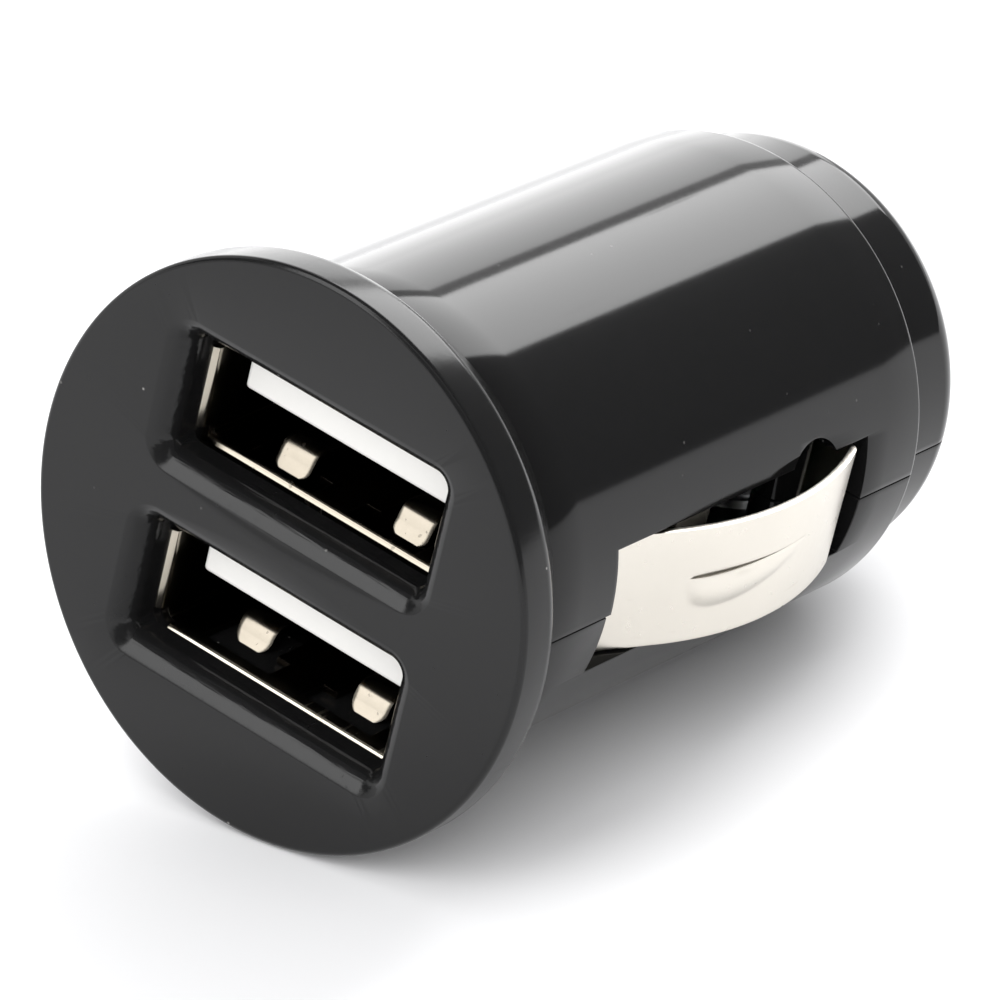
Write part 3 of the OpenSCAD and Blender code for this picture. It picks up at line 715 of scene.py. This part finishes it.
def coil(name):
    """A round wire swept along a helix."""
    bm = bmesh.new()
    steps = int(turns*per_turn)
    rings = []
    for i in range(steps + 1):
        a = 2*pi*i/per_turn
        middle_y = coil_start + wire_d/2 + (coil_end - coil_start - wire_d)*i/steps
        ring = []
        for k in range(wire_steps):
            b = 2*pi*k/wire_steps
            r, y = coil_r + wire_d/2*cos(b), middle_y + wire_d/2*sin(b)
            ring.append(bm.verts.new((r*cos(a)*MM, y*MM, -r*sin(a)*MM)))
        rings.append(ring)
    skin(bm, rings)
    bm.faces.new(rings[0])
    bm.faces.new(rings[-1])
    return soften(link(name, bm), 0, angle=40)


spring = dress(coil("spring_wire_coil"), "contact_spring", "housing", "spring_wire")
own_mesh(spring)

# %% [markdown]
# ## Shared surface effects
#
# Moulded plastic, sheet metal and turned metal all need the same few effects in other amounts:
# fine marks, a soft unevenness, and lighter edges that stand for wear, and on the socket shell
# also for painted glints. Another group paints shade deep inside the sockets. Each is a node
# group that is built once. A group only gives out masks and heights that change over the
# surface, and each material decides what to do with them.

# %% Node helpers
def group(name, inputs, outputs):
    """An empty shader node group with number inputs and outputs."""
    tree = bpy.data.node_groups.new(name, "ShaderNodeTree")
    for label, value in inputs:
        socket = tree.interface.new_socket(label, in_out="INPUT", socket_type="NodeSocketFloat")
        socket.default_value = value
    for label in outputs:
        tree.interface.new_socket(label, in_out="OUTPUT", socket_type="NodeSocketFloat")
    return tree, tree.nodes.new("NodeGroupInput"), tree.nodes.new("NodeGroupOutput")


def put(tree, socket, value):
    """Set a socket, or link it where the value is another node's output."""
    if isinstance(value, bpy.types.NodeSocket):
        tree.links.new(value, socket)
    else:
        socket.default_value = value


def add(tree, kind, **values):
    """A node with its properties set and its sockets set or linked."""
    node = tree.nodes.new(kind)
    for key, value in values.items():
        if hasattr(node, key):
            setattr(node, key, value)
        else:
            put(tree, node.inputs[key.replace("_", " ")], value)
    return node


def math(tree, operation, a, b=0.0, clamp=False):
    """A Math node of numbers or outputs."""
    node = add(tree, "ShaderNodeMath", operation=operation, use_clamp=clamp)
    for socket, value in zip(node.inputs, (a, b)):
        put(tree, socket, value)
    return node.outputs[0]


def remap(tree, value, low, high, to_low=0.0, to_high=1.0):
    """A smooth Map Range."""
    node = add(tree, "ShaderNodeMapRange", interpolation_type="SMOOTHSTEP", Value=value,
               From_Min=low, From_Max=high, To_Min=to_low, To_Max=to_high)
    return node.outputs["Result"]


def object_place(tree):
    """The place on the surface, in the object's own metres."""
    return add(tree, "ShaderNodeTexCoord").outputs["Object"]


print("node helpers: group, put, add, math, remap, object_place")

# %% [markdown]
# ### Edge wear and painted glints
#
# Plating and gloss go first where an edge rubs, so the edges get a lighter colour. On the socket
# shell this lighter colour also paints the thin glints along its slots and lip, so there it is a
# painted highlight as well as wear. The Bevel node gives the normal that a rounded edge would
# have. Where it differs from the true normal there is an edge. A noise breaks the mask up,
# because wear is never even.

# %% Edge wear and painted glints
# A mask of lighter edges, for wear and, on the socket shell, for painted glints.
tree, given, out = group("edge_wear_and_glint", [("Radius", 0.00015), ("Amount", 1.0)], ["Mask"])
bevel = add(tree, "ShaderNodeBevel", samples=6, Radius=given.outputs["Radius"])
plain = add(tree, "ShaderNodeNewGeometry")
dot = add(tree, "ShaderNodeVectorMath", operation="DOT_PRODUCT")
put(tree, dot.inputs[0], bevel.outputs[0])
put(tree, dot.inputs[1], plain.outputs["Normal"])
mask = remap(tree, dot.outputs["Value"], 0.995, 0.86)
noise = add(tree, "ShaderNodeTexNoise", Vector=object_place(tree), Scale=900.0, Detail=4.0)
broken = math(tree, "MULTIPLY", mask, remap(tree, noise.outputs["Fac"], 0.35, 0.62, 0.45, 1.0))
worn_and_glinting = math(tree, "MULTIPLY", broken, given.outputs["Amount"], clamp=True)
put(tree, out.inputs["Mask"], worn_and_glinting)
edge_wear_and_glint = tree
print(tree.name, "has", len(tree.nodes), "nodes")

# %% [markdown]
# ### Fine marks
#
# A clean object still has a few specks of dust and hair-thin scratches. Voronoi cells whose
# random colour is high enough hold one speck each. A noise that is drawn out along one axis and
# cut off high gives scratches, and two of them cross.

# %% Fine marks
def scratches_along(tree, scale, turn_by, seed):
    """A mask of scratches that run one way."""
    mapping = add(tree, "ShaderNodeMapping", Vector=object_place(tree), Scale=(1.0, 0.05, 1.0),
                  Rotation=(0.35*seed, turn_by, 0.6), Location=(seed, seed, 0))
    noise = add(tree, "ShaderNodeTexNoise", Vector=mapping.outputs[0], Detail=1.0,
                Scale=math(tree, "MULTIPLY", scale, 9.0))
    return remap(tree, noise.outputs["Fac"], 0.70, 0.78)


tree, given, out = group("fine_marks", [("Speck scale", 1500.0), ("Scratch scale", 260.0)],
                         ["Specks", "Scratches"])
dots = add(tree, "ShaderNodeTexVoronoi", feature="F1", Vector=object_place(tree),
           Scale=given.outputs["Speck scale"])
pick = add(tree, "ShaderNodeSeparateColor", Color=dots.outputs["Color"])
rare = remap(tree, pick.outputs[0], 0.93, 0.97)
size = remap(tree, dots.outputs["Distance"], 0.13, 0.04)
put(tree, out.inputs["Specks"], math(tree, "MULTIPLY", rare, size))
scale = given.outputs["Scratch scale"]
both = math(tree, "MAXIMUM", scratches_along(tree, scale, 0.5, 0.0),
            scratches_along(tree, scale, 1.9, 3.7))
put(tree, out.inputs["Scratches"], both)
fine_marks = tree
print(tree.name, "has", len(tree.nodes), "nodes")

# %% [markdown]
# ### Unevenness
#
# A moulded wall sinks a little as it cools, and a pressed sheet is never quite flat. A wide
# noise gives these slow waves, and a fine one gives the grain of the skin.

# %% Unevenness
tree, given, out = group("unevenness", [("Wave scale", 120.0), ("Grain scale", 2600.0)],
                         ["Wave", "Grain"])
for label, detail in (("Wave", 2.0), ("Grain", 6.0)):
    noise = add(tree, "ShaderNodeTexNoise", Vector=object_place(tree), Detail=detail,
                Scale=given.outputs[f"{label} scale"])
    put(tree, out.inputs[label], noise.outputs["Fac"])
unevenness = tree
print(tree.name, "has", len(tree.nodes), "nodes")

# %% [markdown]
# ### Painted depth shade
#
# Deep in a socket little light comes in, and this group paints that shade into the colour: it
# gives a mask of painted shade that grows with the depth behind the face. The fingers stand up
# into the light, so the painted shade is only half as strong on them.

# %% Painted depth shade
# A mask of painted shade: it grows with the depth behind the face, only between the side walls, and
# is half as strong on the fingers.
tree, given, out = group("painted_depth_shade", [("Start", 0.0023), ("End", 0.0034)], ["Mask"])
axes = add(tree, "ShaderNodeSeparateXYZ", Vector=object_place(tree))
depth = remap(tree, axes.outputs["Y"], given.outputs["Start"], given.outputs["End"])
inside = remap(tree, math(tree, "ABSOLUTE", axes.outputs["X"]), 0.0065, 0.0064)
sprung = add(tree, "ShaderNodeAttribute", attribute_name="sprung")
half = math(tree, "MULTIPLY", sprung.outputs["Fac"], 0.5)
still = math(tree, "SUBTRACT", 1.0, half, clamp=True)
painted_shade = math(tree, "MULTIPLY", math(tree, "MULTIPLY", depth, inside), still)
put(tree, out.inputs["Mask"], painted_shade)
painted_depth_shade = tree
print(tree.name, "has", len(tree.nodes), "nodes")

# %% [markdown]
# ### Ramp lines
#
# The ramps of the openings show faint lines along X, which the tool left in the mould. A noise
# that is stretched along X makes them. Three ranges keep them off the flat face, off the rim and
# off the land behind the ramps.

# %% Ramp lines
tree, given, out = group("ramp_lines", [("Scale", 3200.0)], ["Height"])
place = object_place(tree)
mapping = add(tree, "ShaderNodeMapping", Vector=place, Scale=(0.07, 1.0, 1.0),
              Rotation=(0.0, 0.012, 0.0))
noise = add(tree, "ShaderNodeTexNoise", Vector=mapping.outputs[0], Detail=3.0,
            Scale=given.outputs["Scale"])
axes = add(tree, "ShaderNodeSeparateXYZ", Vector=place)
from_middle = math(tree, "MAXIMUM", math(tree, "ABSOLUTE", axes.outputs["X"]),
                   math(tree, "ABSOLUTE", axes.outputs["Z"]))
below_face = remap(tree, axes.outputs["Y"], 0.00002, 0.0002)
near_middle = remap(tree, from_middle, 0.0084, 0.0081)
on_ramp = remap(tree, axes.outputs["Y"], 0.0014, 0.0011)
mask = math(tree, "MULTIPLY", math(tree, "MULTIPLY", below_face, near_middle), on_ramp)
put(tree, out.inputs["Height"], math(tree, "MULTIPLY", mask, noise.outputs["Fac"]))
ramp_lines = tree
print(tree.name, "has", len(tree.nodes), "nodes")

# %% [markdown]
# ## Materials
#
# A material starts from one Principled shader whose constant values are written on its own
# sockets. The groups then change its colour, roughness and normal a little from place to place.
# The grain spreads the roughness, and scratches and dust raise it. The height goes to a Bump
# node, which turns it into a normal.

# %% Colour
# Width of the lighter edges, which stand for wear and on the socket shell also for painted glints.
wear_and_glint_radius = 0.00012
dust_color = (0.45, 0.44, 0.42, 1)


def blend(tree, factor, a, b):
    """A mix of two colours, each of them fixed or another node's output."""
    return add(tree, "ShaderNodeMix", data_type="RGBA", Factor=factor, A=a, B=b).outputs["Result"]


def surface_color(tree, color, worn_and_glinting, wear_and_glint, painted_shade, wave, dust):
    """The colour of a finish, with its waves, painted shade in the depths, dust, and lighter edges
    that stand for wear, and on the socket shell also for painted glints.
    """
    shown = blend(tree, wave, (*[c*0.88 for c in color], 1), (*[min(1, c*1.10) for c in color], 1))
    # Painted shade: deeper in a socket the colour goes toward a dark colour that stands for shade.
    if painted_shade:
        start, end, painted_shade_color = painted_shade
        inner = add(tree, "ShaderNodeGroup", node_tree=painted_depth_shade, Start=start, End=end)
        shown = blend(tree, inner.outputs["Mask"], shown, (*painted_shade_color, 1))
    shown = blend(tree, dust, shown, dust_color)
    edges = add(tree, "ShaderNodeGroup", node_tree=edge_wear_and_glint, Radius=wear_and_glint_radius, Amount=wear_and_glint)
    # Lighter edges: wear, and on the socket shell also painted glints.
    wear_and_glint_color = worn_and_glinting or [min(1, c*1.4 + 0.02) for c in color]
    return blend(tree, edges.outputs["Mask"], shown, (*wear_and_glint_color, 1))


print("edge wear:", wear_and_glint_radius/MM, "mm wide")

# %% Material builder
finishes = {}


def finish(name, color, roughness, metallic=0.0, specular=0.5, worn_and_glinting=None, wear_and_glint=0.3, specks=0.0,
           scratches=0.0, wave=0.0, grain=0.0, rough_spread=0.05, painted_shade=None, lines=0.0):
    """A procedural material for one finish of the plug."""
    material = bpy.data.materials.new(name)
    material.use_nodes = True
    tree = material.node_tree
    shader = tree.nodes["Principled BSDF"]
    shader.inputs["Metallic"].default_value = metallic
    shader.inputs["Specular IOR Level"].default_value = specular
    marks = add(tree, "ShaderNodeGroup", node_tree=fine_marks)
    uneven = add(tree, "ShaderNodeGroup", node_tree=unevenness)
    waves, grains = uneven.outputs["Wave"], uneven.outputs["Grain"]
    dust = math(tree, "MULTIPLY", marks.outputs["Specks"], specks)
    scratched = marks.outputs["Scratches"]
    shown = surface_color(tree, color, worn_and_glinting, wear_and_glint, painted_shade, waves, dust)
    rough = math(tree, "ADD", roughness - rough_spread/2,
                 math(tree, "MULTIPLY", grains, rough_spread))
    rough = math(tree, "ADD", rough, math(tree, "MULTIPLY", scratched, scratches))
    rough = math(tree, "ADD", rough, math(tree, "MULTIPLY", dust, 0.4), clamp=True)
    height = math(tree, "ADD", math(tree, "MULTIPLY", waves, wave),
                  math(tree, "MULTIPLY", grains, grain))
    height = math(tree, "SUBTRACT", height, math(tree, "MULTIPLY", scratched, scratches*0.02))
    if lines:
        flow = add(tree, "ShaderNodeGroup", node_tree=ramp_lines)
        height = math(tree, "ADD", height, math(tree, "MULTIPLY", flow.outputs["Height"], lines))
    bump = add(tree, "ShaderNodeBump", Strength=1.0, Distance=0.0001, Height=height)
    for label, output in (("Base Color", shown), ("Roughness", rough), ("Normal", bump.outputs[0])):
        put(tree, shader.inputs[label], output)
    finishes[name] = material


print("node groups:", ", ".join(g.name for g in bpy.data.node_groups))

# %% [markdown]
# ## Finishes of the housing and the sockets
#
# The face has a satin skin and the body a polished one, so they are two finishes of the same
# black plastic. Black plastic shows almost nothing of its own colour: what the eye sees is what
# it mirrors, so its specular level counts more than its colour. The plating of the socket shell
# has a warm tone, the contact sheets a paler one.

# %% Finishes that show from the front
finish("face_plastic", (0.008, 0.008, 0.0082), 0.17, specular=0.29, worn_and_glinting=(0.03, 0.03, 0.03),
       wear_and_glint=0.25, specks=0.4, scratches=0.10, grain=0.02, rough_spread=0.06, lines=0.26)
finish("shell_plastic", (0.007, 0.007, 0.0072), 0.09, specular=0.26, worn_and_glinting=(0.03, 0.03, 0.03),
       wear_and_glint=0.25, specks=0.12, scratches=0.06, wave=0.06, rough_spread=0.04)
# The shell, the insulator and the gold contacts get painted shade: deeper behind the face their
# colour goes toward a dark colour that stands for shade. The shell's lighter edge colour also
# paints thin glints along its slots and lip.
finish("plated_shell", (0.43, 0.395, 0.33), 0.22, metallic=1.0, worn_and_glinting=(0.53, 0.495, 0.425),
       wear_and_glint=0.5, scratches=0.12, wave=0.2, grain=0.02, painted_shade=(0.0021, 0.0032, (0.07, 0.055, 0.04)))
finish("insulator_white", (0.78, 0.77, 0.745), 0.34, wear_and_glint=0.1, grain=0.02,
       painted_shade=(0.0032, 0.0038, (0.06, 0.055, 0.05)))
finish("contact_gold", (0.83, 0.60, 0.24), 0.22, metallic=1.0, scratches=0.1,
       painted_shade=(0.003, 0.005, (0.10, 0.07, 0.03)))
finish("leaf_nickel", (0.705, 0.67, 0.605), 0.30, metallic=1.0, worn_and_glinting=(0.60, 0.52, 0.42),
       wear_and_glint=0.25, scratches=0.15, wave=0.3, grain=0.03, rough_spread=0.14)
print("finishes so far:", ", ".join(finishes))

# %% [markdown]
# ## Finishes of the other parts
#
# These don't show from the front, but other views need them, so each has the colour and gloss
# of the real part. They differ in few values, so a table is enough.

# %% Finishes of the other parts
for name, color, roughness, metallic, scratches, grain in (
    ("nose_nickel", (0.80, 0.78, 0.74), 0.22, 1.0, 0.15, 0.02),
    ("spring_wire", (0.60, 0.60, 0.61), 0.28, 1.0, 0.1, 0.0),
    ("terminal_brass", (0.78, 0.58, 0.26), 0.30, 1.0, 0.1, 0.0),
    ("board_green", (0.012, 0.11, 0.045), 0.30, 0.0, 0.0, 0.04),
    ("ferrite", (0.035, 0.035, 0.038), 0.62, 0.0, 0.0, 0.10),
    ("copper_wire", (0.62, 0.24, 0.09), 0.30, 0.8, 0.0, 0.08),
    ("can_aluminium", (0.78, 0.79, 0.80), 0.30, 1.0, 0.12, 0.0),
    ("chip_black", (0.018, 0.018, 0.02), 0.52, 0.0, 0.0, 0.12),
    ("fuse_green", (0.02, 0.14, 0.06), 0.40, 0.0, 0.0, 0.05),
    ("ceramic_tan", (0.36, 0.23, 0.12), 0.45, 0.0, 0.0, 0.06),
):
    finish(name, color, roughness, metallic, scratches=scratches, grain=grain)
print("finishes:", len(finishes))

# %% Give every piece its finish
slot_of = {s["node"]: s["material_slot"] for s in frame["record"]["subparts"]}
worn_by = [(thing, slot_of[name]) for name, thing in nodes.items()]
worn_by += [(thing, thing["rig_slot"]) for thing in dressed]
for thing, slot in worn_by:
    thing.data.materials.clear()
    thing.data.materials.append(finishes[slot])
print("finished pieces:", len(worn_by))

# %% [markdown]
# ## Floor
#
# The plug lies on its side on a white floor and touches it with the rim and with the body's rear
# edge. The pieces stay where the frame has them, so the floor is tilted instead: its plane is
# worked out from these two circles, and from how far the plug has rolled about its own axis.

# %% Floor
rim_touch_y, rim_back_y, floor_half = 1.45, 1.8, 1.2


def plain_finish(name, values):
    """A simple material whose shader's sockets get these values."""
    material = bpy.data.materials.new(name)
    material.use_nodes = True
    for socket, value in values.items():
        material.node_tree.nodes["Principled BSDF"].inputs[socket].default_value = value
    return material


lean = asin((rim_r - body_r)/(body_end - rim_back_y))
roll = radians(-12.2)
up = Vector((sin(roll)*cos(lean), -sin(lean), cos(roll)*cos(lean)))
depth = rim_r*cos(lean) + rim_touch_y*sin(lean)
across = Vector((1, 0, 0)) - up*up.x
across.normalize()
along = up.cross(across)
floor_frame = Matrix((across, along, up)).transposed().to_4x4()
floor_frame.translation = -up*depth*MM
bm = bmesh.new()
bmesh.ops.create_grid(bm, x_segments=8, y_segments=8, size=floor_half)
floor = link("floor", bm)
floor.matrix_world = floor_frame
floor.data.materials.append(plain_finish("floor_paper", {"Base Color": (0.86, 0.86, 0.87, 1),
                                                         "Roughness": 0.8}))
print(f"floor: {depth:.2f} mm under the axis, leaning by {degrees(lean):.2f} degrees")

# %% [markdown]
# ## Lamps and cards
#
# Seen by the camera or in a reflection, the world is white, and it lights the plug a little less.
# Three long boxes run beside the body. They give it long grey reflections, whose straight edges
# make plastic look polished. A lamp in front lights the white tongues and the floor, and no
# reflection shows it.
#
# What a glossy black surface doesn't mirror stays black, so a photographer shapes the dark parts
# too, with black cards. The cards here are seen by reflections only, and so is one glowing card
# that puts a bright band on the ramps and the lips of the sockets.

# %% World
ambient = 0.82
world = bpy.data.worlds.new("studio")
bpy.context.scene.world = world
world.use_nodes = True
tree = world.node_tree
plain = tree.nodes["Background"]
plain.inputs["Color"].default_value = (1, 1, 1, 1)
seen = add(tree, "ShaderNodeLightPath")
white = math(tree, "MAXIMUM", seen.outputs["Is Camera Ray"], seen.outputs["Is Glossy Ray"])
white = math(tree, "MAXIMUM", white, seen.outputs["Is Transmission Ray"])
put(tree, plain.inputs["Strength"], math(tree, "MAXIMUM", white, ambient))
print("world: 1 where it is seen,", ambient, "as light")

# %% Lamps
lamp_away, lamp_y = 0.35, (0.18, 0.72)


def lamp(name, place, target, size, watts, size_y=None):
    """A soft rectangular lamp that faces its target."""
    light = bpy.data.lights.new(name, "AREA")
    light.shape, light.size, light.size_y = "RECTANGLE", size, size_y or size
    light.energy = watts
    thing = bpy.data.objects.new(name, light)
    bpy.context.scene.collection.objects.link(thing)
    thing.location = place
    thing.rotation_euler = (Vector(target) - Vector(place)).to_track_quat("-Z", "Y").to_euler()
    return thing


def long_panel(start, end, distance, y0, y1):
    """A panel along Y that fills these angles from +X: its middle, its half width and length."""
    a, b = (Vector((cos(radians(t)), 0, sin(radians(t)))) for t in (start, end))
    middle = (a + b).normalized()*distance
    half = distance*tan(radians(abs(end - start)/2))
    side = (b - a).normalized()*half
    return middle, side, (y0 + y1)/2, (y1 - y0)/2


def long_lamp(name, start, end, radiance):
    """A soft box along Y that fills these angles, with an even radiance."""
    middle, side, y, half_l = long_panel(start, end, lamp_away, *lamp_y)
    watts = radiance*pi*2*side.length*2*half_l
    place = middle + Vector((0, y, 0))
    thing = lamp(name, place, (0, y, 0), 2*half_l, watts, 2*side.length)
    x_axis, z_axis = Vector((0, 1, 0)), middle.normalized()
    thing.matrix_world = Matrix((x_axis, z_axis.cross(x_axis), z_axis)).transposed().to_4x4()
    thing.location = place
    return thing


boxes = [long_lamp("roof_box", 89, 130.5, 6.3), long_lamp("side_box", 137, 171, 2.6),
         long_lamp("low_box", 171, 190, 2.3)]
fill = lamp("front_fill", (0.05, -0.48, 0.32), (0, 0, 0), 0.6, 3.2)
fill.visible_glossy = False
print("lamps, in watts:", {thing.name: round(thing.data.energy, 2) for thing in boxes + [fill]})

# %% Cards
felt = plain_finish("card_felt", {"Base Color": (0.12, 0.12, 0.12, 1), "Roughness": 1.0,
                                  "Specular IOR Level": 0.0})
glow = plain_finish("box_glow", {"Base Color": (0, 0, 0, 1), "Emission Color": (1, 1, 1, 1),
                                 "Emission Strength": 4.1})
middle, side, y, half_l = long_panel(13.5, 88.5, 0.30, -0.1, 0.9)
cards = {
    "side_card": ([middle + Vector((0, y + e*half_l, 0)) + side*f
                   for e, f in ((-1, -1), (1, -1), (1, 1), (-1, 1))], felt),
    "roof_card": ([(-0.5, -0.155, 0.33), (0.5, -0.155, 0.33),
                   (0.5, 0.1, 0.33), (-0.5, 0.1, 0.33)], felt),
    "front_box": ([(-0.32, -0.45, 0.04), (-0.15, -0.45, 0.04),
                   (-0.10, -0.155, 0.335), (-0.32, -0.155, 0.335)], glow),
    "front_card": ([(-0.15, -0.45, 0.02), (0.5, -0.12, 0.02),
                    (0.5, -0.12, 0.42), (-0.12, -0.40, 0.42)], felt),
    "left_card": ([(-0.32, -0.45, 0.02), (-0.75, -0.20, 0.02),
                   (-0.75, -0.20, 0.42), (-0.32, -0.40, 0.42)], felt),
}
for name, (corners, paint) in cards.items():
    bm = bmesh.new()
    bm.faces.new([bm.verts.new(c) for c in corners])
    piece = link(name, bm)
    piece.visible_camera = piece.visible_diffuse = False
    piece.visible_shadow = piece.visible_transmission = False
    piece.data.materials.append(paint)
print("cards:", ", ".join(cards))

# %% [markdown]
# ## Camera
#
# The sockets have a known size, so a camera could be fitted to the corners of both openings and
# to the round outlines. That gave its place, three angles and a long lens. The angles are turned
# into the camera's three axes here: to its right, up, and back toward the photographer.

# %% Camera
turn_z, tilt, tip = radians(31.665), radians(28.582), radians(13.955)
lens_in_pixels, picture_in_pixels, sensor = 8056.8, 1000, 36.0
right_of = Vector((cos(turn_z), sin(turn_z), 0))
over_it = Vector((-sin(turn_z)*sin(tilt), cos(turn_z)*sin(tilt), cos(tilt)))
back_from = Vector((sin(turn_z)*cos(tilt), -cos(turn_z)*cos(tilt), sin(tilt)))
view_x = right_of*cos(tip) + over_it*sin(tip)
view_y = over_it*cos(tip) - right_of*sin(tip)
camera = bpy.data.objects.new("camera", bpy.data.cameras.new("camera"))
bpy.context.scene.collection.objects.link(camera)
camera.matrix_world = Matrix((view_x, view_y, back_from)).transposed().to_4x4()
camera.location = Vector((153.218, -233.055, 156.935))*MM
camera.data.sensor_width, camera.data.lens = sensor, lens_in_pixels*sensor/picture_in_pixels
camera.data.clip_start, camera.data.clip_end = 0.01, 10
bpy.context.scene.camera = camera
bpy.context.scene.view_settings.view_transform = "Standard"
print(f"camera: lens {camera.data.lens:.1f} mm, {camera.location.length:.3f} m away")
